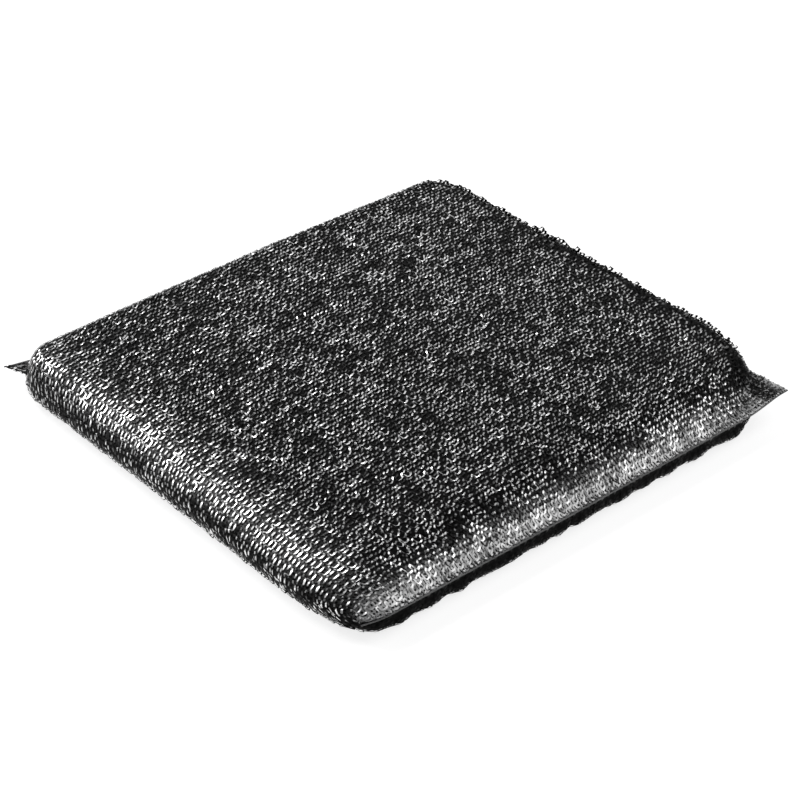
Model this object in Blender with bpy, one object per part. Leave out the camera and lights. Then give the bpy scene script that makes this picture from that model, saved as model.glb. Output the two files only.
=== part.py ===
"""Scouring sponge: a foam pad inside a knitted tube that is fused shut at both ends.

Metres, +Z up. The origin is on the floor under the middle of the pad. The tube runs along X, so the
fused ends are at +X and -X, and the tube folds round the pad at +Y and -Y.
"""

from math import cos, pi, radians, sin, sqrt

import bmesh
import bpy

# Overall sizes
end_to_end = 0.1300
fold_to_fold = 0.1386
pad_height = 0.0122
weld_height = 0.0065

# The pad's own form
corner_radius = 0.0130
crown = 0.0009
top_taper = 0.0190
underside_taper = 0.0045
top_roundness = 2.4
underside_roundness = 3.0

# The knitted fabric: courses run round the pad, wales run along X
course_pitch = 0.00138
wale_pitch = 0.0023
ridge_depth = 0.0004
fabric_wall = 0.0010
pressed_flat = 0.00012

# The fused ends
weld_draw_in = 0.0028
flange_reach = 0.0003
flange_ply = 0.0008
groove_width = 0.0003
bead_radius = 0.0004
bead_flat_angle = radians(25)
bead_points = 5

# Stretched stitches beside each weld
gap_every_wales = 2
gap_width = 0.0007
gap_length = 0.0026
gap_from_root = 0.0030

# Fit of the foam in the cover
foam_clearance = 0.0003
foam_from_weld = 0.0015
foam_rings = 13

# Where the sections of a fold have their corners, as shares of its radius inwards from the edge
cover_fold_corners = (1.0, 0.45, 0.0)
foam_fold_corners = (1.0, 0.5, 0.12)
ear_corner = 0.3

# Finishes: colour, roughness and how metallic
knit_finish = ((0.03, 0.03, 0.032), 0.35, 0.6)
foam_finish = ((0.09, 0.09, 0.095), 0.95, 0.0)

end = end_to_end / 2
root = end - 2 * bead_radius - groove_width - flange_reach
half_width = fold_to_fold / 2
depth_below = weld_height + pressed_flat
height_above = pad_height - weld_height


def between(value, low, high):
    """Keeps a value within two limits."""
    return min(max(value, low), high)


def top_rise(inside):
    """Share of the full height that the top has this far inside the flange's root."""
    left = 1 - between(inside / top_taper, 0.0, 1.0)
    return 1 - left**top_roundness


def underside_rise(inside):
    """The same share for the underside, which drops steeply from the weld."""
    left = 1 - between(inside / underside_taper, 0.0, 1.0)
    return sqrt(1 - left**underside_roundness)


def pad_half_width(x, inset):
    """Half the width of the pad at x, which has rounded corners."""
    radius = corner_radius - inset
    past = between(abs(x) - (root - inset - radius), 0.0, radius)
    return half_width - inset - radius + sqrt(radius**2 - past**2)


def cover_half_width(x):
    """Half the width of the flattened tube, which keeps its square corners as ears."""
    start = root - corner_radius
    share = between((abs(x) - start) / (end - start), 0.0, 1.0)
    return half_width - weld_draw_in * share**2 * (3 - 2 * share)


def fold(y, half, radius):
    """Round fold of the fabric along the pad's side, 1 on the flat and 0 at the edge."""
    turned = between((abs(y) - half + radius) / radius, 0.0, 1.0)
    return sqrt(1 - turned**2)


def pad_heights(x, y, inset):
    """Height of the pad's top above the weld, and depth of its underside below the weld."""
    inside = root - inset - abs(x)
    half = pad_half_width(x, inset)
    sag = crown * (y / half_width) ** 2
    above = (height_above - sag - inset) * top_rise(inside)
    below = (depth_below - inset) * underside_rise(inside)
    return (
        above * fold(y, half, height_above - inset),
        below * fold(y, half, depth_below - inset),
    )


def ring_of_points(x, steps, edge, heights):
    """One section as a ring: over the top to +Y, back along the underside and up at -Y."""
    upper = [0.0, steps[0] / 2] + steps
    points = [(x, y, weld_height + heights(y)[0]) for y in upper]
    points.append((x, edge, weld_height))
    points += [(x, y, weld_height - heights(y)[1]) for y in reversed(steps)]
    points += [(x, -y, weld_height - heights(y)[1]) for y in steps]
    points.append((x, -edge, weld_height))
    points += [(x, -y, weld_height + heights(y)[0]) for y in reversed(upper[1:])]
    return points


def cover_section(x, inset, ply):
    """Section of the cover: the rounded pad, with the flat ears of the tube beside it."""
    edge = cover_half_width(x) - inset
    foot = min(pad_half_width(x, inset), edge - ply)
    steps = [foot - share * depth_below for share in cover_fold_corners]
    steps.append(edge - ear_corner * ply)

    def heights(y):
        above, below = pad_heights(x, y, inset)
        flat = ply * fold(y, edge, ply)
        return max(above, flat), max(below, flat)

    return ring_of_points(x, steps, edge, heights)


def foam_section(x, inset):
    """Section of a plain rounded pad that lies this far inside the cover's outer face."""
    half = pad_half_width(x, inset)
    turn = depth_below - inset
    steps = [half - share * turn for share in foam_fold_corners]
    return ring_of_points(x, steps, half, lambda y: pad_heights(x, y, inset))


def knit_sections():
    """Sections of the cover: a crest and a valley for each course, between the two welds."""
    courses = 2 * int(root / course_pitch) + 1
    sections = []
    for index in range(1, 2 * courses):
        x = root * (index / courses - 1)
        inset = 0.0 if index % 2 else ridge_depth
        sections.append(cover_section(x, inset, flange_ply))
    return weld_sections(-1)[::-1] + sections + weld_sections(1)


def weld_sections(side):
    """Sections of one end, outwards: the flat flange, its groove and the round fused edge."""
    sections = [
        cover_section(side * root, 0.0, flange_ply),
        cover_section(side * (root + flange_reach), 0.0, flange_ply),
    ]
    centre = end - bead_radius * cos(bead_flat_angle)
    swing = pi - 2 * bead_flat_angle
    for index in range(bead_points):
        angle = pi - bead_flat_angle - swing * index / (bead_points - 1)
        x = centre + bead_radius * cos(angle)
        sections.append(cover_section(side * x, 0.0, bead_radius * sin(angle)))
    return sections


def foam_sections(inset):
    """Sections of a rounded pad, closest together where its ends taper."""
    reach = root - inset - foam_from_weld
    sections = []
    for index in range(-foam_rings, foam_rings + 1):
        x = reach * sin(pi / 2 * index / foam_rings)
        sections.append(foam_section(x, inset))
    return sections


def loft(name, sections):
    """Joins rings of as many points, in order along X, into one closed skin."""
    bm = bmesh.new()
    rings = [[bm.verts.new(point) for point in section] for section in sections]
    for near, far in zip(rings, rings[1:]):
        for index, corner in enumerate(near):
            after = (index + 1) % len(near)
            bm.faces.new((corner, far[index], far[after], near[after]))
    bm.faces.new(rings[0])
    bm.faces.new(reversed(rings[-1]))
    bmesh.ops.recalc_face_normals(bm, faces=bm.faces)
    return object_from(name, bm)


def object_from(name, bm):
    """New object with the mesh that was made."""
    mesh = bpy.data.meshes.new(name)
    bm.to_mesh(mesh)
    bm.free()
    return bpy.data.objects.new(name, mesh)


def stitch_gaps():
    """One slot between every few wales, through the upper wall beside both welds."""
    bm = bmesh.new()
    pitch = gap_every_wales * wale_pitch
    count = int((half_width - corner_radius - pitch) / pitch)
    middle = root - gap_from_root - gap_length / 2
    for side in (-1, 1):
        for index in range(-count, count + 1):
            made = bmesh.ops.create_cube(bm, size=1.0)["verts"]
            bmesh.ops.scale(bm, verts=made, vec=(gap_length, gap_width, height_above))
            place = (side * middle, index * pitch, weld_height + height_above / 2)
            bmesh.ops.translate(bm, verts=made, vec=place)
    return object_from("stitch_gaps", bm)


def floor_block():
    """Block up to the floor, which presses the crests of the underside flat."""
    bm = bmesh.new()
    made = bmesh.ops.create_cube(bm, size=1.0)["verts"]
    bmesh.ops.scale(bm, verts=made, vec=(2 * end_to_end, 2 * fold_to_fold, pad_height))
    bmesh.ops.translate(bm, verts=made, vec=(0, 0, -pad_height / 2))
    return object_from("floor_block", bm)


def cut(target, cutter, collection):
    """Takes the cutter's volume away from the target, and keeps the cutter as a guide."""
    collection.objects.link(cutter)
    cutter.hide_render = True
    cutter.display_type = "WIRE"
    boolean = target.modifiers.new(cutter.name, "BOOLEAN")
    boolean.operation = "DIFFERENCE"
    boolean.object = cutter


def material(name, colour, roughness, metallic):
    """Plain Principled material."""
    made = bpy.data.materials.new(name)
    made.use_nodes = True
    shader = made.node_tree.nodes["Principled BSDF"]
    shader.inputs["Base Color"].default_value = (*colour, 1.0)
    shader.inputs["Roughness"].default_value = roughness
    shader.inputs["Metallic"].default_value = metallic
    return made


def new_collection(name):
    """Collection under the scene's own."""
    made = bpy.data.collections.new(name)
    bpy.context.scene.collection.children.link(made)
    return made


def build():
    """Makes the knitted cover, and the foam core with a clearance inside it."""
    for item in list(bpy.data.objects):
        bpy.data.objects.remove(item, do_unlink=True)
    sponge = new_collection("scouring_sponge")
    cutters = new_collection("cutters")
    wall = ridge_depth + fabric_wall

    cover = loft("knitted_cover", knit_sections())
    sponge.objects.link(cover)
    cover.data.materials.append(material("metallised_knit", *knit_finish))
    cut(cover, loft("foam_pocket", foam_sections(wall)), cutters)
    cut(cover, stitch_gaps(), cutters)
    cut(cover, floor_block(), cutters)

    core = loft("foam_core", foam_sections(wall + foam_clearance))
    sponge.objects.link(core)
    core.data.materials.append(material("grey_foam", *foam_finish))
    core.data.shade_smooth()


build()
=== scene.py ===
# %% [markdown]
# # A scouring sponge, dressed for the photograph
#
# The sponge is a thin slab of foam inside a knitted tube. The yarn is a narrow glossy film, black
# with silver glints, and the tube is fused flat at both ends. The frame gives the true outside
# size and where the pad lies: X runs along the tube from weld to weld, Y from fold to fold.

import math

import bmesh
import bpy
import numpy as np
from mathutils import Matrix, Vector


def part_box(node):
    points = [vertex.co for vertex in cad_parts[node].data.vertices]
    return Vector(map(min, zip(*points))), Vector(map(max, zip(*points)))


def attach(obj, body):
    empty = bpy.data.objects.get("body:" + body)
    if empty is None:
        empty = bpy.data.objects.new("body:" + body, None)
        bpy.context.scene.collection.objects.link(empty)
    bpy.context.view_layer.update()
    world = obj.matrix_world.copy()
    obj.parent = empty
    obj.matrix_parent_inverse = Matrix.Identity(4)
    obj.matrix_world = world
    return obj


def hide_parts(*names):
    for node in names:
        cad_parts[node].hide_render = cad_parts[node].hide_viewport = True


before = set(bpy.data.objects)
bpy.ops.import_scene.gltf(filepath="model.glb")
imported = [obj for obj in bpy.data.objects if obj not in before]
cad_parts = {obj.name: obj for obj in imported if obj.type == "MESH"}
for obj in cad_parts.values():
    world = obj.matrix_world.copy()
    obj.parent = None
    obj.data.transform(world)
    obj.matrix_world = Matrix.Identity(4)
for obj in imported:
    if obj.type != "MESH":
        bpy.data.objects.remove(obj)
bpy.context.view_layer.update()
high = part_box("knitted_cover")[1]
half_length, half_width, pad_height = high
weld_points_within = 0.0001
cover_points = np.array([v.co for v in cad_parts["knitted_cover"].data.vertices])
at_weld = cover_points[cover_points[:, 0] > half_length - weld_points_within]
weld_height = float(at_weld[:, 2].mean())
print("half length, half width, height", half_length, half_width, pad_height)
print("weld height", weld_height)

# %% [markdown]
# ## Helpers
#
# One helper puts an object in the scene, one starts a material, and one adds a maths node to it.
# The others are the curves that most of the shapes are made of: a value kept within 0 and 1, a
# smooth step from 0 to 1, and a smooth hump.

# %% Helpers
scene = bpy.context.scene


def linked(name, data):
    """New object with this data, in the scene."""
    made = bpy.data.objects.new(name, data)
    scene.collection.objects.link(made)
    return made


def finish_of(name):
    """New material with its nodes, its links, its shader and the place on the piece."""
    made = bpy.data.materials.new(name)
    made.use_nodes = True
    nodes = made.node_tree.nodes
    place = nodes.new("ShaderNodeTexCoord").outputs["Object"]
    return made, nodes, made.node_tree.links, nodes["Principled BSDF"], place


def maths(nodes, links, operation, *values):
    """One maths node, from sockets or plain numbers."""
    node = nodes.new("ShaderNodeMath")
    node.operation = operation
    for socket, value in zip(node.inputs, values):
        if isinstance(value, (int, float)):
            socket.default_value = value
        else:
            links.new(value, socket)
    return node.outputs[0]


def clip01(value):
    """The value, kept within 0 and 1."""
    return np.clip(value, 0.0, 1.0)


def ease(value):
    """Smooth step from 0 to 1 while the value goes from 0 to 1."""
    value = clip01(value)
    return value * value * (3 - 2 * value)


def hump(value, middle, width):
    """1 at the middle, and smoothly down to 0 a few widths away."""
    return np.exp(-(((value - middle) / width) ** 2))


# %% [markdown]
# ## Camera
#
# The photograph was taken with a long lens from a little above the near corner, which is the one
# where a fused end meets a fold. The picture is square, so a short helper turns the angles into a
# place for the camera, and a small shift puts the pad where the photograph has it.

# %% Camera
image_size, focal_px, sensor_mm = 800, 2389.0, 36.0
azimuth, elevation, distance = math.radians(49.27), math.radians(34.13), 0.570
pad_in_picture = (402.3, 378.1)

camera_data = bpy.data.cameras.new("camera")
camera_data.sensor_width = sensor_mm
camera_data.lens = focal_px / image_size * sensor_mm
camera_data.shift_x = (image_size / 2 - pad_in_picture[0]) / image_size
camera_data.shift_y = (pad_in_picture[1] - image_size / 2) / image_size
camera = linked("camera", camera_data)
backwards = Vector(
    (
        math.sin(azimuth) * math.cos(elevation),
        -math.cos(azimuth) * math.cos(elevation),
        math.sin(elevation),
    )
)
camera.location = Vector((0, 0, pad_height / 2)) + backwards * distance
camera.rotation_mode = "QUATERNION"
camera.rotation_quaternion = (-backwards).to_track_quat("-Z", "Y")
scene.camera = camera
print("lens", round(camera_data.lens, 1), "mm")

# %% [markdown]
# ## Floor and light
#
# The pad lies on a plain white sweep. Glossy film shows what it faces, so the place of a lamp
# matters more than its power: each stands where one face of the pad mirrors it to the camera. The
# left lamp draws the long highlight on the near fold, the right one lights the band beside the
# weld, and a broad weak panel behind gives the top its glints. Three weaker lamps fill the sides
# that the photograph doesn't show. The surrounding light is dim, so the gaps in the knit stay black.

# %% Floor
scene.view_settings.view_transform = "Standard"
floor_half, floor_grey, floor_glow = 3.0, 0.40, 0.80

bm = bmesh.new()
bmesh.ops.create_grid(bm, x_segments=1, y_segments=1, size=floor_half)
floor_mesh = bpy.data.meshes.new("floor")
bm.to_mesh(floor_mesh)
bm.free()
floor = linked("floor", floor_mesh)

floor_paint, nodes, links, paint, _ = finish_of("floor_paint")
paint.inputs["Base Color"].default_value = (floor_grey, floor_grey, floor_grey, 1)
paint.inputs["Roughness"].default_value = 0.9
paint.inputs["Specular IOR Level"].default_value = 0.1
paint.inputs["Emission Color"].default_value = (1, 1, 1, 1)
# the floor glows only for the rays that show it, so it lights nothing
rays = nodes.new("ShaderNodeLightPath").outputs
seen = maths(nodes, links, "MAXIMUM", rays["Is Camera Ray"], rays["Is Glossy Ray"])
shown = maths(nodes, links, "MAXIMUM", seen, rays["Is Transmission Ray"])
links.new(maths(nodes, links, "MULTIPLY", shown, floor_glow), paint.inputs["Emission Strength"])
floor.data.materials.append(floor_paint)

# %% Lamps and surrounding light
world = bpy.data.worlds.new("studio")
world.use_nodes = True
surrounding = world.node_tree.nodes["Background"].inputs
surrounding["Color"].default_value = (0.9, 0.93, 1.0, 1)
surrounding["Strength"].default_value = 0.045
scene.world = world

# bearing from +X and angle above the floor in degrees, metres away, width and height, watts
lamps = {
    "left_lamp": (189, 46, 1.6, (1.0, 0.8), 17),
    "right_lamp": (60, 51, 1.6, (1.2, 1.0), 9),
    "back_panel": (130, 28, 1.8, (1.8, 1.2), 5.6),
    "top_lamp": (330, 74, 1.6, (0.8, 0.8), 2.5),
    "low_lamp": (222, 28, 1.6, (1.2, 0.9), 4.4),
    "behind_lamp": (319, 30, 1.8, (1.4, 1.0), 3),
}
for name, (bearing, angle, away, size, power) in lamps.items():
    lamp_data = bpy.data.lights.new(name, "AREA")
    lamp_data.shape = "RECTANGLE"
    lamp_data.size, lamp_data.size_y = size
    lamp_data.energy = power
    lamp = linked(name, lamp_data)
    turn, rise = math.radians(bearing), math.radians(angle)
    towards = Vector(
        (math.cos(turn) * math.cos(rise), math.sin(turn) * math.cos(rise), math.sin(rise))
    )
    lamp.location = towards * away
    lamp.rotation_mode = "QUATERNION"
    lamp.rotation_quaternion = (-towards).to_track_quat("-Z", "Y")

# %% [markdown]
# ## The pad's skin as a map
#
# A knitted tube is easiest to think of as a flat cloth: courses are the rows that run round the
# pad, wales are the columns that run along it. So the knit is made flat, where every stitch is
# alike, and then carried onto the pad. The map below says where each point of the flat cloth lies.
# Its sections have the pad's round folds and rounded corners, and thin ears beside them, because
# the flattened tube keeps its square corners while the foam inside has round ones.

# %% Section of the pad
crown = 0.0009
# by end and side: right, near, left and far corner of the picture
corner_radii = {(1, 1): 0.0300, (1, -1): 0.0105, (-1, -1): 0.0115, (-1, 1): 0.0130}
under_radii = {**corner_radii, (1, 1): 0.0250}
end_x = half_length + 0.0003
front_root, back_root = half_length, half_length - 0.0004
back_weld_height, level_run = 0.0047, 0.08
# the near fold draws in by near_taper, over taper_run up to just before the front weld
near_taper, taper_starts, taper_run = 0.0024, 0.0210, 0.0190
# lengths, powers and shares of the curves along the top and the underside
shoulder_run, shoulder_share = 0.0034, 0.42
slope_run, slope_power = 0.0156, 3.3
back_run, under_run, under_power = 0.0044, 0.0045, 3
# the same for the curves over the folds
near_shoulder, shoulder_growth, growth_run = 0.0050, 0.0090, 0.0400
near_power, near_root = 2.2, 0.625
far_shoulder, gentle_shoulder = 0.0057, 0.0160
gentle_starts, gentle_run = 0.0300, 0.0250
under_shoulder = 0.0050


def level(x):
    """Height of the widest line of the pad, which is lower at the back end."""
    climb = ease((x + half_length) / level_run)
    return back_weld_height + (weld_height - back_weld_height) * climb


def room_inside(x, inset):
    """How far x lies inside the nearer end of the pad."""
    return np.where(x > 0, front_root - inset - x, x + back_root - inset)


def pad_edge(x, side, inset, radii=corner_radii):
    """Width of the pad from its middle to one side at x, inside the cover's face."""
    radius = radii[(1 if x > 0 else -1, side)] - inset
    past = np.clip(radius - room_inside(x, inset), 0.0, radius)
    taper = near_taper * ease((x - half_length + taper_starts) / taper_run) * (side < 0)
    return half_width - inset - radius - taper + np.sqrt(radius**2 - past**2)


def turn_down(room, run, power=2):
    """A round edge: 0 at the edge and 1 from this run inwards."""
    return np.sqrt(1 - (1 - clip01(room / run)) ** power)


def top_rise(x, inset):
    """Share of the full height on top: a shoulder and a long slope in front, round at the back."""
    room = room_inside(x, inset)
    shoulder = clip01(room / shoulder_run)
    slope = 1 - (1 - clip01((room - shoulder_run) / slope_run)) ** slope_power
    front = shoulder_share * shoulder + (1 - shoulder_share) * slope
    return np.where(x > 0, front, turn_down(room, back_run))


def underside_drop(x, inset):
    """The same share for the underside, which drops steeply from the weld."""
    return turn_down(room_inside(x, inset), under_run, under_power)


def side_rise(x, y, half):
    """Share of the height over the folds: a wide soft shoulder at -Y, a tighter one at +Y."""
    room = half - np.abs(y)
    shoulder = near_shoulder + shoulder_growth * ease((x + half_length) / growth_run)
    wide = (1 - (1 - clip01(room / shoulder)) ** near_power) ** near_root
    gentle = 1 - (1 - clip01(room / gentle_shoulder)) ** 2
    share = ease((x - half_length + gentle_starts) / gentle_run)
    tight = turn_down(room, far_shoulder) * (1 - share) + gentle * share
    return np.where(y < 0, wide, tight)


def heights(x, y, side, inset):
    """Height of the pad's top above its widest line, and depth of its underside below it."""
    half, half_under = pad_edge(x, side, inset), pad_edge(x, side, inset, under_radii)
    sag = crown * (y / half_width) ** 2
    above = (pad_height - level(x) - inset - sag) * top_rise(x, inset) * side_rise(x, y, half)
    side_drop = turn_down(half_under - np.abs(y), under_shoulder)
    below = (level(x) - inset) * underside_drop(x, inset) * side_drop
    return above, below


print("top at the middle", round(float(heights(0.0, 0.0, 1, 0.0)[0] + level(0.0)), 4))

# %% [markdown]
# The grid of the map is laid out by length along the cloth, so stitches keep their size as they
# turn over a fold. Each corner of the tube is pushed its own way, as on the real pad: the right
# ear turns up, the near one is tucked under, the left one sticks out flat, and the near fold draws
# in a little towards the weld. Slow waves keep the soft pad from looking machined, and short
# gathers pucker the underside beside each weld.

# %% Lay out the map
around_count, along_count, quarter_count = 960, 420, 121
# half the weld's length on each side of each end: (end, side)
weld_reach = {(1, 1): 0.0635, (1, -1): 0.0660, (-1, -1): 0.0660, (-1, 1): 0.0650}
ears_from, ear_blend = 0.035, 0.0008
skin_ply, skin_softening = 0.0003, 4


def tube_edge(x, side):
    """Width of the flattened tube at x on one side: the pad's own, or the ear that lies past it."""
    ear = weld_reach[(1 if x > 0 else -1, side)]
    pad = float(pad_edge(x, side, 0.0))
    wider = (pad + ear + math.hypot(pad - ear, ear_blend)) / 2
    return wider if abs(x) > ears_from else pad


def resample(points, count):
    """The same line with this many equal steps."""
    steps = np.linalg.norm(np.diff(points, axis=0), axis=1)
    length = np.concatenate([[0.0], np.cumsum(steps)])
    wanted = np.linspace(0, length[-1], count + 1)
    return np.stack([np.interp(wanted, length, points[:, k]) for k in range(3)], axis=1)


def half_ring(x, side, ply):
    """Half of one section on one side: along the underside to the edge, and back over the top."""
    edge = tube_edge(x, side)
    y = side * edge * np.sin(np.linspace(0, math.pi / 2, quarter_count))
    above, below = heights(x, y, side, 0.0)
    flat = ply * np.sqrt(1 - clip01((np.abs(y) - edge + ply) / ply) ** 2)
    across = np.full_like(y, x)
    top = np.stack([across, y, level(x) + np.maximum(above, flat)], axis=1)
    low_side = np.stack([across, y, level(x) - np.maximum(below, flat)], axis=1)
    count = around_count // 4
    return resample(low_side, count)[:-1], resample(top[::-1], count)[:-1]


def ring_at(x, ply):
    """One section as a closed ring, from the middle of the underside round +Y, top and -Y."""
    low_plus, top_plus = half_ring(x, 1, ply)
    low_minus, top_minus = half_ring(x, -1, ply)
    turn_minus = np.concatenate([low_minus, top_minus])[::-1]
    top_middle = np.array([[x, 0.0, level(x) + float(heights(x, 0.0, 1, 0.0)[0])]])
    return np.concatenate([low_plus, top_plus, top_middle, turn_minus[:-1]])


def slow_waves(x, y, seed, count=7, shortest=0.014, longest=0.045):
    """Smooth uneven field of about unit size, the same each run."""
    draw = np.random.default_rng(seed)
    total = np.zeros_like(x)
    for _ in range(count):
        turn = draw.uniform(0, 2 * math.pi)
        wave = 2 * math.pi / draw.uniform(shortest, longest)
        phase = draw.uniform(0, 2 * math.pi)
        total = total + np.cos(wave * (x * math.cos(turn) + y * math.sin(turn)) + phase)
    return total / math.sqrt(count)


def softened(grid, rounds):
    """Averages each point with its neighbours, round the ring and along it."""
    for _ in range(rounds):
        grid = 0.5 * grid + 0.25 * (np.roll(grid, 1, axis=1) + np.roll(grid, -1, axis=1))
        inner = 0.5 * grid[1:-1] + 0.25 * (grid[:-2] + grid[2:])
        grid = np.concatenate([grid[:1], inner, grid[-1:]])
    return grid


def normals_of(grid):
    """Outward normals of a grid of points."""
    along = np.gradient(grid, axis=0)
    around = (np.roll(grid, -1, axis=1) - np.roll(grid, 1, axis=1)) / 2
    normal = np.cross(around, along)
    return normal / np.maximum(np.linalg.norm(normal, axis=2, keepdims=True), 1e-12)


def skin_map(ply):
    """Grid of points on the pad, equally spaced along the cloth both ways."""
    stations = end_x * np.sin(np.linspace(-math.pi / 2, math.pi / 2, along_count + 1))
    raw = np.stack([ring_at(float(x), ply) for x in stations])
    raw = softened(raw, skin_softening)
    columns = [resample(raw[:, k], along_count) for k in range(around_count)]
    return shaped(np.stack(columns, axis=1))


wave_size, gather_pitch, gather_size, gather_reach = 0.00007, 0.0090, 0.00024, 0.0045
weld_margin, under_depth = 0.0010, 0.0030
drift_size, drift_stretch, gather_change = 0.0024, 0.2, 0.5
ear_lift, lift_x, lift_y, lift_run = 0.0014, 0.0400, 0.0500, 0.0120
# how far each ear moves along X, Y and Z for each metre past the pad's own round corner
ear_moves = {
    (1, 1): (0, 0, 0.03),
    (1, -1): (-1.00, 0.10, -0.45),
    (-1, -1): (-1.05, -1.00, 0),
    (-1, 1): (0, 0, -0.30),
}


def outside_pad(x, y, before=0.0):
    """How far a point of an ear lies past the pad's own round corner, or a line before it."""
    ends = np.where(x > 0, 1, -1)
    sides = np.where(y > 0, 1, -1)
    radius = np.zeros_like(x)
    for (end, side), size in corner_radii.items():
        radius[(ends == end) & (sides == side)] = size
    over_x = np.clip(radius - room_inside(x, 0.0), 0.0, radius)
    over_y = np.maximum(np.abs(y) - (half_width - radius), 0.0)
    return np.maximum(np.hypot(over_x, over_y) - radius + before, 0.0)


def shaped(grid):
    """Adds the ears' own turns, the slow waves and the gathers beside the welds."""
    x, y, z = grid[..., 0], grid[..., 1], grid[..., 2]
    normal = normals_of(grid)
    push = wave_size * slow_waves(x, y + z, 3)
    room = room_inside(x, 0.0)
    near_weld = hump(room, 0, gather_reach) * ease(room / weld_margin + 1)
    under = clip01((level(x) - z) / under_depth)
    drift = drift_size * slow_waves(x * drift_stretch, y, 9)
    change = 1 + gather_change * slow_waves(x, y, 5)
    gathers = np.cos(2 * math.pi * (y + drift) / gather_pitch) * change
    push = push * (1 - under) + gather_size * gathers * near_weld * under
    made = grid + normal * push[..., None]
    past = outside_pad(x, y)
    for (end, side), move in ear_moves.items():
        in_ear = past * (end * x > 0) * (side * y > 0)
        made += in_ear[..., None] * np.array(move)
    made[..., 2] += ear_lift * ease((y - lift_y) / lift_run) * ease((x - lift_x) / lift_run)
    return made


skin = skin_map(skin_ply)
skin_normals = normals_of(skin)
cloth_around = float(np.linalg.norm(np.diff(skin[along_count // 2], axis=0), axis=1).sum())
cloth_along = float(np.linalg.norm(np.diff(skin[:, around_count // 2], axis=0), axis=1).sum())
print("cloth: round the pad", round(cloth_around, 4), "along the tube", round(cloth_along, 4))

# %% Carry a flat point onto the pad
above_floor = 0.00002


def carry(flat):
    """Places flat cloth points: round the pad, along it, and height off the cloth."""
    around = flat[:, 0] / cloth_around * around_count
    along = np.clip(flat[:, 1] / cloth_along, 0, 1) * along_count
    column = np.floor(around).astype(int)
    row = np.minimum(np.floor(along).astype(int), along_count - 1)
    part_u = (around - column)[:, None]
    part_v = (along - row)[:, None]
    left, right = column % around_count, (column + 1) % around_count

    def blend(grid):
        first = grid[row, left] * (1 - part_u) + grid[row, right] * part_u
        second = grid[row + 1, left] * (1 - part_u) + grid[row + 1, right] * part_u
        return first * (1 - part_v) + second * part_v

    placed = blend(skin) + blend(skin_normals) * flat[:, 2:3]
    placed[:, 2] = np.maximum(placed[:, 2], above_floor)
    return placed


# %% [markdown]
# ## Foam core
#
# The foam is a slab with rounded corners. Its ring sections come from the same map, about half a
# millimetre deeper, so it always fills the cover. It is the soft piece that gives the pad its
# shape: the sections are crowned, with round folds, as a slab pressed into a tight tube is.

# %% Foam core
foam_depth, foam_from_weld = 0.00045, 0.0002
foam_ring_count, foam_steps = 81, 60


def ring_mesh(name, rings):
    """Bridges rings of points into one skin, with bmesh operators."""
    bm = bmesh.new()
    loops = []
    for ring in rings:
        corners = [bm.verts.new(point) for point in ring]
        edges = [bm.edges.new((a, b)) for a, b in zip(corners, corners[1:] + corners[:1])]
        loops.append(edges)
    for near, far in zip(loops, loops[1:]):
        bmesh.ops.bridge_loops(bm, edges=near + far)
    for edges in (loops[0], loops[-1]):
        bmesh.ops.contextual_create(bm, geom=edges)
    bmesh.ops.recalc_face_normals(bm, faces=bm.faces)
    mesh = bpy.data.meshes.new(name)
    bm.to_mesh(mesh)
    bm.free()
    mesh.shade_smooth()
    return linked(name, mesh)


foam_rings = []
for share in np.linspace(-1, 1, foam_ring_count):
    x = (front_root if share > 0 else back_root) - foam_depth - foam_from_weld
    x *= math.sin(math.pi / 2 * share)
    ring = []
    for side in (1, -1):
        edge = float(pad_edge(x, side, foam_depth))
        y = side * edge * np.sin(np.linspace(0, math.pi / 2, quarter_count))
        above, below = heights(x, y, side, foam_depth)
        across = np.full_like(y, x)
        lower = np.stack([across, y, level(x) - below], axis=1)
        upper = np.stack([across, y, level(x) + above], axis=1)[::-1]
        ring.append(np.concatenate([resample(part, foam_steps)[:-1] for part in (lower, upper)]))
    top_middle = np.array([[x, 0.0, level(x) + float(heights(x, 0.0, 1, foam_depth)[0])]])
    foam_rings.append(np.concatenate([ring[0], top_middle, ring[1][:0:-1]]))
foam = ring_mesh("foam_slab", shaped(np.array(foam_rings)))
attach(foam, "root")
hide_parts("foam_core")
print("foam faces", len(foam.data.polygons))

# %% [markdown]
# ## Ground of the knit
#
# The glossy film is knitted together with a thin black yarn that lies behind it and fills the gaps
# between the stitches. At this size that yarn reads as a dark cloth just under the film, so it is
# made as one: it follows the map a fraction of a millimetre deeper, out into the ears as well.
# Beside the front weld and in the ears the cloth is pressed flat, and there it shows as a fine
# grey net. Along the near fold's highlight a faint grey net is painted on as well, as a painted
# sheen. So the sheet stores a mark that says where it is pressed and where the sheen is painted,
# and counts its own fine wales and courses, from which the material draws the net.

# %% Ground cloth
ground_depth = 0.00017
ground_wales, ground_pitch = 310, 0.00100
row_step, column_step = 3, 4
pressed_reach = 0.0040
ear_mark_before, ear_mark_run = 0.0025, 0.0030
ear_marks_from, ear_marks_run = 0.0120, 0.0040
back_ear_mark = 0.5
# place, width and strength of the painted sheen along the near fold
near_fold_place, near_fold_width, near_fold_sheen = 0.735, 0.030, 0.10
mark_fade = 0.0005

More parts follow.
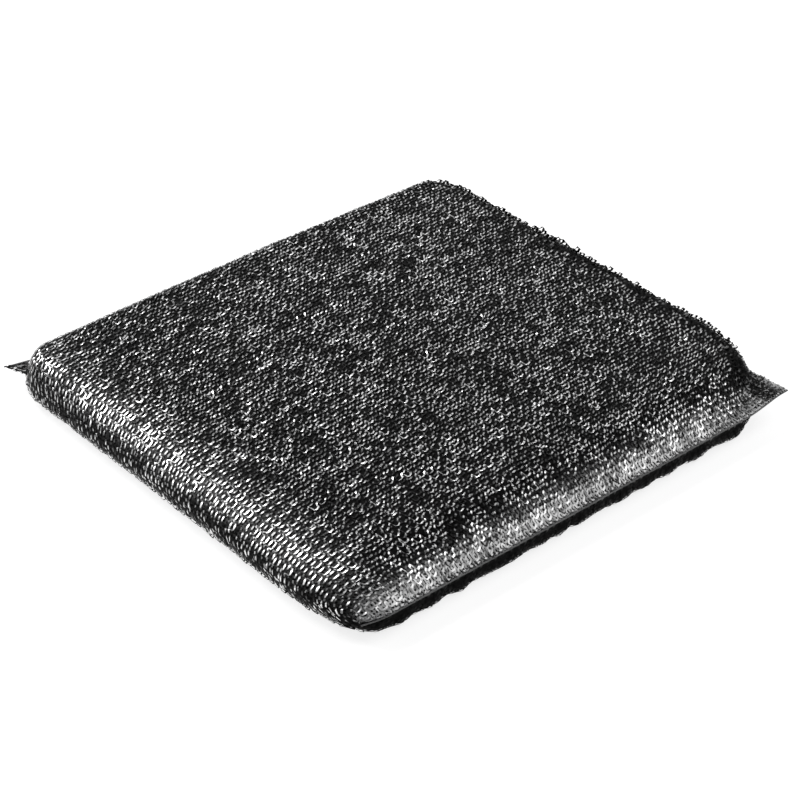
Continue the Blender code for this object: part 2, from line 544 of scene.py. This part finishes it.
ground_grid = (skin - skin_normals * ground_depth)[::row_step, ::column_step]
ground = ring_mesh("ground_cloth", ground_grid)
rows, columns = np.indices(ground_grid.shape[:2])
places = ground_grid.reshape(-1, 3)
x, y, z = places.T
in_front = x > 0
share_around = columns.ravel() * column_step / around_count
pressed_and_sheen = hump(room_inside(x, 0.0), 0, pressed_reach) * in_front
beside = ease(outside_pad(x, y, ear_mark_before * in_front) / ear_mark_run)
beside = beside * ease((np.abs(x) - half_length + ear_marks_from) / ear_marks_run)
beside = beside * np.where(in_front, 1.0, back_ear_mark)
# painted sheen: a faint grey net along the near fold's highlight, where the cloth is not pressed
painted_fold_sheen = near_fold_sheen * hump(share_around, near_fold_place, near_fold_width)
pressed_and_sheen = np.maximum(np.maximum(pressed_and_sheen, beside), painted_fold_sheen)
pressed_and_sheen = pressed_and_sheen * ease((z - level(x)) / mark_fade + 0.5)
fine_marks = {
    "pressed_and_sheen": pressed_and_sheen,
    "fine_wale": share_around * ground_wales,
    "fine_course": rows.ravel() * row_step / along_count * cloth_along / ground_pitch,
}
for mark, values in fine_marks.items():
    ground.data.attributes.new(mark, "FLOAT", "POINT").data.foreach_set("value", values)
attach(ground, "root")
print("ground cloth faces", len(ground.data.polygons))

# %% [markdown]
# ## The knit
# Each course is one run of film yarn that weaves up and down once for every wale. Seen from the
# outside the loops' heads and feet lie on top and their legs dive under, so the surface is rows of
# short glossy arcs. A course is drawn flat as a curve, with a flat three-sided section, and no two
# stitches are quite alike: height, lift, twist and width wander from stitch to stitch. On the near
# fold the stitches lie calm and catch one long highlight, which is also painted in as a more
# silvered tone; along the far fold some stand up as dark tufts, and beside the front weld they are
# stretched almost bare and painted lighter. The legs are painted darker than the heads, as painted
# shade, and where the cloth turns under below the near fold and beside the front weld it is painted
# matt black, as painted shade.

# %% Yarn sizes
course_pitch, wale_pitch = 0.00137, 0.00234
points_per_stitch = 8
yarn_width, yarn_thickness = 0.00036, 0.00008
loop_height, loop_lift, loop_belly, bare_belly = 0.00072, 0.00011, 0.00018, 0.00006
loop_lean, head_width, head_lift = 0.00024, 0.00018, 0.00003
tuft_height, under_tuft = 0.0006, 0.30
# place and width, as shares of the way round the ring
far_fold, near_fold, under_fold = (0.268, 0.012), (0.730, 0.029), (0.762, 0.018)
bare_courses = 3.3
wales = round(cloth_around / wale_pitch)
courses = round(cloth_along / course_pitch)
print("wales", wales, "courses", courses, "stitches", wales * courses)

# %% Where the courses lie
stretch_near_weld, stretched_courses, clear_of_end = 0.12, 3.0, 0.0001
course_number = np.arange(courses)
from_end = np.minimum(course_number, courses - 1 - course_number)
course_room = 1 + stretch_near_weld * hump(from_end, 0, stretched_courses)
course_room = course_room / course_room.sum() * (cloth_along - 2 * clear_of_end)
course_place = clear_of_end + np.cumsum(course_room) - course_room / 2
print("course spacing in mm", 1000 * course_room.min(), "to", 1000 * course_room.max())

# %% [markdown]
# Each `wandering` below draws one random value for every wale, so their order is part of the
# pattern. Sizes that wander are in metres for places, in radians for the twist, and shares of the
# whole for the rest.

# %% Draw one course flat
draw = np.random.default_rng(2024)
steps = np.arange(wales * points_per_stitch + 1) / points_per_stitch
# one swing a stitch; fold is high at the head and at the foot of a loop, and low on its legs
turn = 2 * math.pi * (steps + 0.5 / points_per_stitch)
swing, fold = np.cos(turn), np.cos(2 * turn)
share_around = steps / wales
# stitches are more uneven by the far fold than by the near one, and their tone is painted
# lighter there and darker towards the near fold, as painted light
uneven_and_lit = 1.15 - 0.25 * clip01((share_around - 0.25) / 0.5)
on_far_fold = hump(share_around, *far_fold)
under_near_fold = hump(share_around, *under_fold)
on_near_fold = hump(share_around, *near_fold) * (1 - 0.8 * under_near_fold)
tuft_place = on_far_fold + under_tuft * under_near_fold


def wandering(size):
    """A value for each stitch that wanders evenly about nothing, and joins up with itself."""
    values = draw.normal(size=wales)
    values = size * values / values.std()
    return np.interp(steps, np.arange(wales + 1), np.append(values, values[0]))


def flattened(wave):
    """The same wave with longer rests at its ends and quicker turns between them."""
    return 1.5 * wave - 0.5 * wave**3


def flat_course(number):
    """Points, twist, width, tone with painted light, and mattness of one course of yarn on the flat
    cloth.
    """
    bare = hump(courses - 1 - number, 0, bare_courses)
    calm = 1 - 0.55 * np.maximum(bare, on_near_fold)
    steady = 1 - 0.6 * np.maximum(bare, on_near_fold)
    lean = loop_lean * (1 - 0.9 * on_near_fold) * (1 + wandering(0.4))
    height = loop_height * course_room[number] / course_pitch
    height = height * (1 - 0.35 * on_near_fold + wandering(0.20))
    lift = loop_lift * (1 + wandering(0.25))
    along_yarn = (
        steps * cloth_around / wales
        + (loop_belly + bare_belly * bare) * np.sin(2 * turn)
        + head_width * (1 + 0.9 * on_near_fold) * np.sin(turn)
        + wandering(0.00020) * (1 + under_near_fold)
    )
    rise = flattened(fold) * (1 - 0.9 * bare) * (1 - 0.4 * on_near_fold)
    loose = np.maximum(1 + wandering(0.6), 0) * tuft_place
    along_tube = (
        course_place[number]
        + height * flattened(swing)
        + lean * np.sin(2 * turn)
        + wandering(0.00022) * steady
        + wandering(0.00030) * under_near_fold
    )
    off_cloth = lift * rise + head_lift * swing * (1 - bare) + wandering(0.00003)
    off_cloth += tuft_height * loose * (0.5 + 0.5 * swing) ** 2
    twist = wandering(0.16) * calm * uneven_and_lit
    width = 1 + 0.2 * fold * (1 - bare) + 0.3 * bare + 0.5 * on_far_fold + wandering(0.12)
    clouds = slow_waves(along_yarn, along_tube, 11, count=12, shortest=0.004, longest=0.016)
    # tone: a random silvering from stitch to stitch, to which the lines below add painted light
    silver_and_light = wandering(1.35 - 1.0 * bare) * (1 - 0.4 * on_near_fold + 0.9 * under_near_fold)
    silver_and_light = silver_and_light * uneven_and_lit + uneven_and_lit - 1 + 0.15 * clouds * (1 - bare)
    # painted shade: the legs darker than the heads, most of all under the near fold
    silver_and_light += 1.4 * rise * (1 + 1.1 * under_near_fold) - 1.0 * under_near_fold
    # painted highlight: lighter beside the front weld and along the near fold; darker on the far
    # fold's tufts
    silver_and_light += 0.5 * bare - 2.2 * on_far_fold + 0.95 * on_near_fold
    # painted shade: the legs under the near fold are made matt black; the far fold's tufts are matt
    # too
    matt_and_shade = np.maximum(on_far_fold, under_near_fold * clip01(0.55 - 0.65 * rise))
    return np.column_stack([along_yarn, along_tube, off_cloth]), twist, width, silver_and_light, matt_and_shade


# %% Turn courses into yarn
section_data = bpy.data.curves.new("film_section", "CURVE")
section_data.dimensions = "2D"
section_spline = section_data.splines.new("POLY")
section_spline.points.add(2)
section_corners = [
    (-yarn_width / 2, yarn_thickness / 3),
    (0.0, -2 * yarn_thickness / 3),
    (yarn_width / 2, yarn_thickness / 3),
]
for point, (side, up) in zip(section_spline.points, section_corners):
    point.co = (side, up, 0, 1)
section_spline.use_cyclic_u = True
film_section = linked("film_section", section_data)
# painted shade: beside the front weld the cloth is painted matt black where it turns under, just
# below its widest line, but at the near corner below a lower limit
turn_below, turn_fade = 0.0002, 0.0004
near_corner_from, near_corner_run = 0.0100, 0.0060
limit_height, limit_climb, limit_from, limit_run = 0.0030, 0.0026, 0.0100, 0.0080
dark_reach, corner_reach, dark_run = 0.0090, 0.0020, 0.0030
ear_shine_run, front_ear_shine, back_ear_shine = 0.0040, 1.5, -0.6
touching, sharp_angle = 1e-7, math.radians(50)


def underside_by_weld(points):
    """Painted shade: 1 where the cloth turns under beside the front weld, 0 elsewhere."""
    x, y, z = points.T
    below = ease((level(x) - turn_below - z) / turn_fade)
    near_corner = ease((-y - half_width + near_corner_from) / near_corner_run)
    limit = limit_height + limit_climb * ease((x - half_length + limit_from) / limit_run)
    lowest = ease((limit - z) / turn_fade + 0.5)
    below = below * (1 - near_corner) + lowest * near_corner
    reach = dark_reach + corner_reach * near_corner
    return below * ease((x - half_length + reach) / dark_run)


def mesh_of(curve):
    """The mesh that a curve sweeps."""
    swept = linked(curve.name + "_path", curve)
    graph = bpy.context.evaluated_depsgraph_get()
    mesh = bpy.data.meshes.new_from_object(swept.evaluated_get(graph))
    bpy.data.objects.remove(swept)
    return mesh


def add_line(curve, points):
    """One straight-stepped line through these points."""
    spline = curve.splines.new("POLY")
    spline.points.add(len(points) - 1)
    spline.points.foreach_set("co", np.column_stack([points, np.ones(len(points))]).ravel())
    return spline


def yarn_mesh(name, numbers):
    """Mesh of these courses: swept flat by a curve, then carried onto the pad."""
    curve = bpy.data.curves.new(name, "CURVE")
    curve.dimensions = "3D"
    curve.twist_mode = "Z_UP"
    curve.bevel_mode = "OBJECT"
    curve.bevel_object = film_section
    silver_and_light_marks, matt_and_shade_marks = [], []
    for number in numbers:
        flat, twist, width, silver_and_light, matt_and_shade = flat_course(number)
        spline = add_line(curve, flat)
        spline.points.foreach_set("tilt", twist)
        spline.points.foreach_set("radius", width)
        silver_and_light_marks.append(np.repeat(silver_and_light, len(section_corners)))
        matt_and_shade_marks.append(np.repeat(matt_and_shade, len(section_corners)))
    mesh = mesh_of(curve)
    flat_points = np.empty(len(mesh.vertices) * 3)
    mesh.vertices.foreach_get("co", flat_points)
    rings = flat_points.reshape(len(numbers), -1, len(section_corners), 3)
    rings[:, -1] = rings[:, 0]
    placed = carry(rings.reshape(-1, 3))
    mesh.vertices.foreach_set("co", placed.ravel())
    x, y = placed[:, 0], placed[:, 1]
    in_ear = ease(outside_pad(x, y) / ear_shine_run)
    in_ear = in_ear * np.where(x > 0, front_ear_shine, back_ear_shine)
    marks = {
        # painted shade with the mattness, and the silvered tone with its painted light
        "shade_and_matt": np.maximum(underside_by_weld(placed), np.concatenate(matt_and_shade_marks)),
        "silver_and_light": np.concatenate(silver_and_light_marks) + in_ear,
    }
    for mark, values in marks.items():
        mesh.attributes.new(mark, "FLOAT", "POINT").data.foreach_set("value", values)
    join_up(mesh)
    mesh.shade_smooth()
    mesh.set_sharp_from_angle(angle=sharp_angle)
    mesh.name = name
    return mesh


def join_up(mesh):
    """Joins the end of each course to its start, under the pad."""
    bm = bmesh.new()
    bm.from_mesh(mesh)
    open_ends = [corner for corner in bm.verts if corner.is_boundary]
    bmesh.ops.remove_doubles(bm, verts=open_ends, dist=touching)
    bm.to_mesh(mesh)
    bm.free()


band_count = 4
bands = []
for band, numbers in enumerate(np.array_split(course_number, band_count)):
    mesh = yarn_mesh(f"knit_band_{band + 1}", numbers)
    piece = linked(mesh.name, mesh)
    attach(piece, "root")
    bands.append(piece)
    triangles = sum(len(face.vertices) - 2 for face in mesh.polygons)
    print(piece.name, "courses", len(numbers), "triangles", triangles)
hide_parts("knitted_cover")
bpy.data.objects.remove(film_section)

# %% [markdown]
# ## Fused edges
#
# At both ends the two plies are melted together and cut in one go. What is left is a thin, smooth,
# dark grey edge that follows the last course.

# %% Fused edges
bead_radius, bead_step = 0.00019, 4


def fused_edge(name, row):
    """A thin round edge along the middle of the two plies at one end of the map."""
    ring = skin[row]
    count = around_count // 2
    lower = np.concatenate([ring[count // 2 :: -1], ring[: -count // 2 - 1 : -1]])
    upper = ring[count // 2 : count // 2 + count + 1]
    middle = ((lower[: len(upper)] + upper[: len(lower)]) / 2)[::bead_step]
    curve = bpy.data.curves.new(name, "CURVE")
    curve.dimensions = "3D"
    curve.bevel_depth = bead_radius
    curve.bevel_resolution = 1
    curve.use_fill_caps = True
    add_line(curve, middle)
    mesh = mesh_of(curve)
    mesh.name = name
    piece = linked(name, mesh)
    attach(piece, "root")
    return piece


edges = [fused_edge("fused_edge_back", 0), fused_edge("fused_edge_front", along_count)]
print("edges", [tuple(round(v, 4) for v in e.dimensions) for e in edges])

# %% [markdown]
# ## Finishes
#
# Film yarn is plastic with a skin of metal, so it has hardly any colour of its own: one stitch is
# a little more silvered than the next. That tone is stored on the yarn, stitch by stitch, with
# painted light added to it: a painted highlight along the near fold and beside the front weld,
# painted shade on the loops' legs, and a lighter far side and darker near side. The material turns
# it into a colour, on a metal whose gloss is broken by wear. It turns the yarn matt black along the
# far fold's tufts, and as painted shade beside the front weld and under the near fold. The ground
# yarn is black but for the grey net where it is pressed, and a faint painted sheen along the near
# fold. The fused edge is melted film, dark and half glossy. The foam is matt and porous. Wear,
# pores and the net are shared groups, built once.

# %% Shared surface effects
def effect(name, inputs, outputs):
    """A shader node group with plain value, vector or colour sockets."""
    group = bpy.data.node_groups.new(name, "ShaderNodeTree")
    for label, kind in inputs:
        group.interface.new_socket(name=label, in_out="INPUT", socket_type=kind)
    for label, kind in outputs:
        group.interface.new_socket(name=label, in_out="OUTPUT", socket_type=kind)
    return group, group.nodes.new("NodeGroupInput"), group.nodes.new("NodeGroupOutput")


def spread(nodes, links, value, low, high, smooth=False):
    """Turns a value from one range into another: (from, to) for each."""
    node = nodes.new("ShaderNodeMapRange")
    node.interpolation_type = "SMOOTHSTEP" if smooth else "LINEAR"
    node.inputs["From Min"].default_value, node.inputs["To Min"].default_value = low
    node.inputs["From Max"].default_value, node.inputs["To Max"].default_value = high
    links.new(value, node.inputs["Value"])
    return node.outputs["Result"]


def mixed(nodes, links, mask, plain, marked):
    """The plain value where the mask is 0, and the marked one where it is 1."""
    step = maths(nodes, links, "SUBTRACT", marked, plain)
    return maths(nodes, links, "MULTIPLY_ADD", mask, step, plain)


def noise_of(nodes, links, place, scale, detail=2.0):
    """Noise of this scale at a place."""
    node = nodes.new("ShaderNodeTexNoise")
    node.inputs["Scale"].default_value = scale
    node.inputs["Detail"].default_value = detail
    links.new(place, node.inputs["Vector"])
    return node.outputs["Fac"]


fine_knit, given, result = effect(
    "fine_knit",
    [("Place", "NodeSocketVector"), ("Wale", "NodeSocketFloat"), ("Course", "NodeSocketFloat")],
    [("Hole", "NodeSocketFloat")],
)
nodes, links = fine_knit.nodes, fine_knit.links
stray = noise_of(nodes, links, given.outputs["Place"], 700.0)
wale = maths(nodes, links, "ADD", given.outputs["Wale"], maths(nodes, links, "MULTIPLY", stray, 0.7))
course = maths(nodes, links, "SUBTRACT", given.outputs["Course"], stray)
ups = maths(nodes, links, "COSINE", maths(nodes, links, "MULTIPLY", wale, 2 * math.pi))
rows_up = maths(nodes, links, "COSINE", maths(nodes, links, "MULTIPLY", course, 2 * math.pi))
both = maths(nodes, links, "ADD", ups, rows_up)
links.new(spread(nodes, links, both, (0.1, 0.0), (0.8, 1.0), smooth=True), result.inputs["Hole"])

pores, given, result = effect(
    "foam_pores",
    [("Place", "NodeSocketVector")],
    [("Wall", "NodeSocketFloat"), ("Normal", "NodeSocketVector")],
)
nodes, links = pores.nodes, pores.links
cells = nodes.new("ShaderNodeTexVoronoi")
cells.inputs["Scale"].default_value = 1400.0
links.new(given.outputs["Place"], cells.inputs["Vector"])
wall = spread(nodes, links, cells.outputs["Distance"], (0.2, 0.0), (0.7, 1.0), smooth=True)
bump = nodes.new("ShaderNodeBump")
bump.inputs["Strength"].default_value = 0.8
bump.inputs["Distance"].default_value = 0.0003
links.new(wall, bump.inputs["Height"])
links.new(wall, result.inputs["Wall"])
links.new(bump.outputs["Normal"], result.inputs["Normal"])

wear, given, result = effect(
    "film_wear",
    [("Place", "NodeSocketVector"), ("Scale", "NodeSocketFloat")],
    [("Wear", "NodeSocketFloat")],
)
nodes, links = wear.nodes, wear.links
marks = nodes.new("ShaderNodeTexNoise")
marks.inputs["Detail"].default_value = 4.0
links.new(given.outputs["Place"], marks.inputs["Vector"])
links.new(given.outputs["Scale"], marks.inputs["Scale"])
rubbed = spread(nodes, links, marks.outputs["Fac"], (0.35, 0.0), (0.70, 1.0))
links.new(rubbed, result.inputs["Wear"])
print("effects", [group.name for group in bpy.data.node_groups])


def use_effect(nodes, links, group, place):
    """The effect as a node, fed with the place on the piece."""
    node = nodes.new("ShaderNodeGroup")
    node.node_tree = group
    links.new(place, node.inputs["Place"])
    return node


def mark_of(nodes, name):
    """A value stored on the piece."""
    node = nodes.new("ShaderNodeAttribute")
    node.attribute_name = name
    return node.outputs["Fac"]


# %% Film yarn
film, nodes, links, shader, place = finish_of("film_yarn")
shader.inputs["Specular IOR Level"].default_value = 0.04
# painted shade: where this mark is 1 the yarn turns matt black, beside the front weld and under the
# near fold, and the far fold's tufts turn matt the same way
shade_and_matt = mark_of(nodes, "shade_and_matt")
# the stored tone holds the stitches' silvering together with painted highlight and painted shade
tone = spread(nodes, links, mark_of(nodes, "silver_and_light"), (-0.8, 0.012), (3.4, 0.90), smooth=True)
links.new(mixed(nodes, links, shade_and_matt, tone, 0.012), shader.inputs["Base Color"])
links.new(maths(nodes, links, "SUBTRACT", 1.0, shade_and_matt), shader.inputs["Metallic"])
rubbed = use_effect(nodes, links, wear, place)
rubbed.inputs["Scale"].default_value = 1500.0
roughness = spread(nodes, links, rubbed.outputs["Wear"], (0.0, 0.22), (1.0, 0.32))
links.new(mixed(nodes, links, shade_and_matt, roughness, 0.95), shader.inputs["Roughness"])
for piece in bands:
    piece.data.materials.append(film)

# %% Ground cloth
ground_paint, nodes, links, shader, place = finish_of("ground_yarn")
shader.inputs["Roughness"].default_value = 0.4
shader.inputs["Specular IOR Level"].default_value = 0.04
knit = use_effect(nodes, links, fine_knit, place)
links.new(mark_of(nodes, "fine_wale"), knit.inputs["Wale"])
links.new(mark_of(nodes, "fine_course"), knit.inputs["Course"])
yarn_tone = spread(nodes, links, knit.outputs["Hole"], (0.0, 0.003), (1.0, 0.001))
net_tone = spread(nodes, links, knit.outputs["Hole"], (0.0, 0.40), (1.0, 0.02))
# painted sheen: besides the pressed net, this mark puts a faint grey net along the near fold
flat = mark_of(nodes, "pressed_and_sheen")
links.new(mixed(nodes, links, flat, yarn_tone, net_tone), shader.inputs["Base Color"])
links.new(spread(nodes, links, flat, (0.0, 0.0), (0.25, 1.0)), shader.inputs["Metallic"])
ground.data.materials.append(ground_paint)

# %% Fused film
fused, nodes, links, shader, place = finish_of("fused_film")
melt = use_effect(nodes, links, wear, place)
melt.inputs["Scale"].default_value = 600.0
tone = spread(nodes, links, melt.outputs["Wear"], (0.0, 0.09), (1.0, 0.17))
links.new(tone, shader.inputs["Base Color"])
roughness = spread(nodes, links, melt.outputs["Wear"], (0.0, 0.30), (1.0, 0.50))
links.new(roughness, shader.inputs["Roughness"])
for piece in edges:
    piece.data.materials.append(fused)

# %% Foam
foam_paint, nodes, links, shader, place = finish_of("dark_foam")
shader.inputs["Roughness"].default_value = 0.95
shader.inputs["Specular IOR Level"].default_value = 0.1
cells = use_effect(nodes, links, pores, place)
tone = spread(nodes, links, cells.outputs["Wall"], (0.0, 0.002), (1.0, 0.008))
links.new(tone, shader.inputs["Base Color"])
links.new(cells.outputs["Normal"], shader.inputs["Normal"])
foam.data.materials.append(foam_paint)
